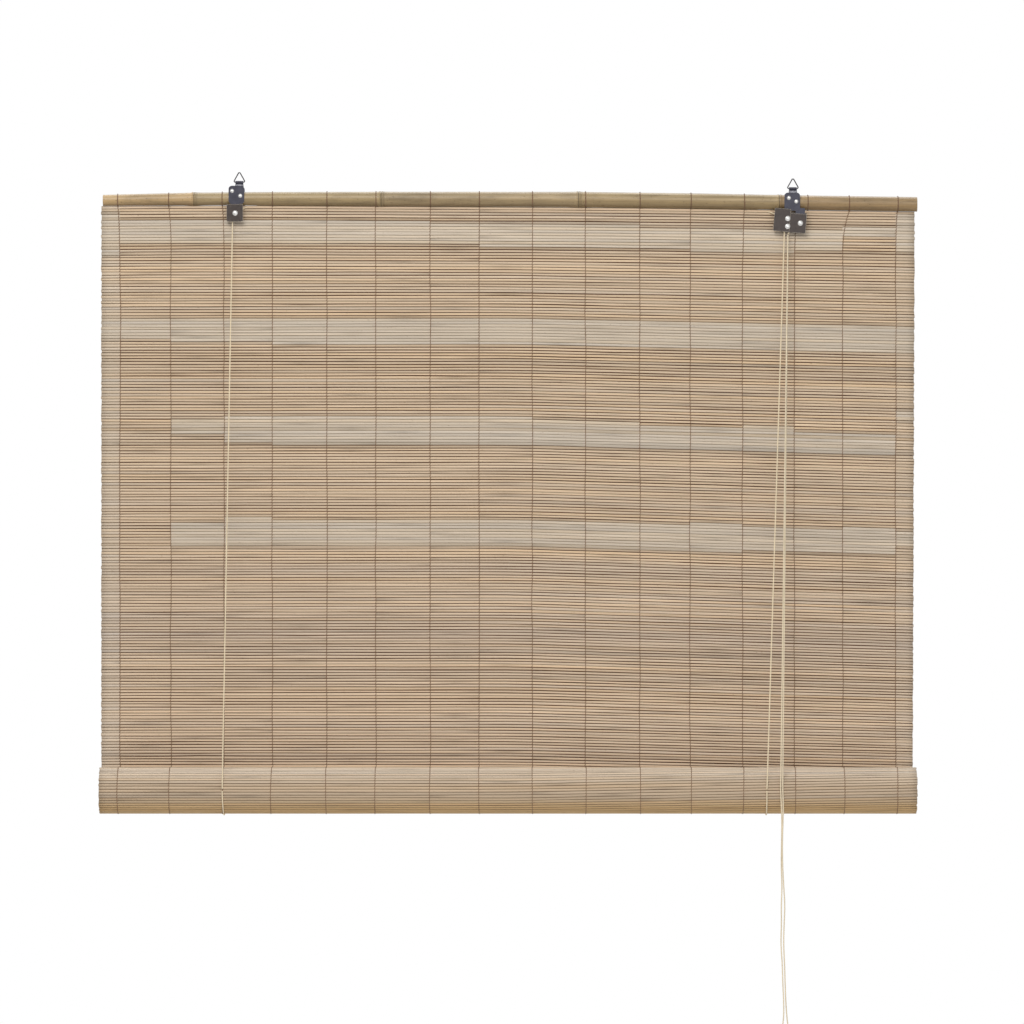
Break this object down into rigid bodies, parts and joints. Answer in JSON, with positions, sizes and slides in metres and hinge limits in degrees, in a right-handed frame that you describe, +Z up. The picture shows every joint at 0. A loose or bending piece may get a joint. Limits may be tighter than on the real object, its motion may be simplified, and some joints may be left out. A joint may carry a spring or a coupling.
{
  "type": "bamboo roll up blind",
  "caption": "Woven split-bamboo window blind hung from a bamboo pole by two wire rings, partly rolled up, with lift cords, pulley, cord lock and coiled pull cords.",
  "frame": {"origin": "midway between the tops of the two hook rings", "axes": "+X along the head pole, to the right as seen from the room; +Y back towards the window; +Z up"},
  "size_m": [1.203, 0.1, 1.2947],
  "materials": {
    "culm": "satin bamboo skin",
    "slats": "split bamboo, matt",
    "rolled_slats": "split bamboo, matt",
    "lath": "planed bamboo",
    "warp_string": "dark brown twisted thread",
    "strap_metal": "dark slate grey, semi-matt",
    "plate_metal": "dark brown-grey, semi-matt",
    "rivets": "bright nickel",
    "ring_wire": "dark blued wire",
    "sheave": "off-white nylon",
    "lift_cord": "cream cotton cord",
    "pull_cord": "cream cotton cord"
  },
  "bodies": {
    "head": {"head_pole": "culm", "hanging_slats": "slats", "warp_string_01": "warp_string", "warp_string_02": "warp_string", "warp_string_03": "warp_string", "warp_string_04": "warp_string", "warp_string_05": "warp_string", "warp_string_06": "warp_string", "warp_string_07": "warp_string", "warp_string_08": "warp_string", "warp_string_09": "warp_string", "warp_string_10": "warp_string", "warp_string_11": "warp_string", "warp_string_12": "warp_string", "warp_string_13": "warp_string", "warp_string_14": "warp_string", "warp_string_15": "warp_string", "warp_string_16": "warp_string", "pole_lashings": "warp_string", "left_hanger_strap": "strap_metal", "right_hanger_strap": "strap_metal", "left_strap_rivets": "rivets", "right_strap_rivets": "rivets", "left_pulley_case": "plate_metal", "left_axle_rivet": "rivets", "lock_case": "plate_metal", "lock_cover_plate": "plate_metal", "lock_axle_rivet": "rivets", "lock_cam_pin": "rivets", "lock_strap_rivet": "rivets", "left_cord_head_run": "lift_cord", "right_cord_head_run": "lift_cord", "left_cord_front_run": "lift_cord", "left_cord_back_run": "lift_cord", "right_cord_front_run": "lift_cord", "right_cord_back_run": "lift_cord", "left_cord_knot": "lift_cord", "right_cord_knot": "lift_cord", "left_pull_cord_upper": "pull_cord", "right_pull_cord_upper": "pull_cord"},
    "left_ring": {"left_hook_ring": "ring_wire"},
    "right_ring": {"right_hook_ring": "ring_wire"},
    "left_pulley": {"left_sheave": "sheave"},
    "lock_pulley": {"lock_sheave": "sheave"},
    "cam": {"lock_cam": "plate_metal"},
    "slings": {"left_cord_sling": "lift_cord", "right_cord_sling": "lift_cord", "left_pull_cord_tail": "pull_cord", "right_pull_cord_tail": "pull_cord", "left_pull_coil": "pull_cord", "right_pull_coil": "pull_cord", "cord_tie": "pull_cord"},
    "roll": {"rolled_mat": "rolled_slats", "bottom_lath": "lath"}
  },
  "joints": [
    {"name": "roll_lift", "type": "slide", "parent": "head", "child": "slings", "axis": [0, 0, 1], "range_m": [0, 0.765], "deforming": ["hanging_slats", "warp_string_01", "warp_string_02", "warp_string_03", "warp_string_04", "warp_string_05", "warp_string_06", "warp_string_07", "warp_string_08", "warp_string_09", "warp_string_10", "warp_string_11", "warp_string_12", "warp_string_13", "warp_string_14", "warp_string_15", "warp_string_16", "left_cord_front_run", "left_cord_back_run", "right_cord_front_run", "right_cord_back_run", "left_pull_cord_upper", "right_pull_cord_upper"]},
    {"name": "roll_turn", "type": "hinge", "parent": "slings", "child": "roll", "pos_m": [0, -0.0339, -0.9065], "axis": [-1, 0, 0], "continuous": true},
    {"name": "left_ring_swing", "type": "hinge", "parent": "head", "child": "left_ring", "pos_m": [-0.399, 0, -0.01195], "axis": [1, 0, 0], "range_deg": [-75, 75]},
    {"name": "right_ring_swing", "type": "hinge", "parent": "head", "child": "right_ring", "pos_m": [0.417, 0, -0.02125], "axis": [1, 0, 0], "range_deg": [-75, 75]},
    {"name": "left_sheave_spin", "type": "hinge", "parent": "head", "child": "left_pulley", "pos_m": [-0.4048, -0.00786, -0.0579], "axis": [0, 1, 0], "continuous": true},
    {"name": "lock_sheave_spin", "type": "hinge", "parent": "head", "child": "lock_pulley", "pos_m": [0.4089, -0.00874, -0.066], "axis": [0, 1, 0], "continuous": true},
    {"name": "lock_cam_swing", "type": "hinge", "parent": "head", "child": "cam", "pos_m": [0.4086, -0.00874, -0.0776], "axis": [0, 1, 0], "range_deg": [0, 45]}
  ],
  "couplings": [
    {"joint": "roll_turn", "follows": "roll_lift", "rad_per_m": 24.64},
    {"joint": "left_sheave_spin", "follows": "roll_lift", "rad_per_m": 500},
    {"joint": "lock_sheave_spin", "follows": "roll_lift", "rad_per_m": 400}
  ]
}
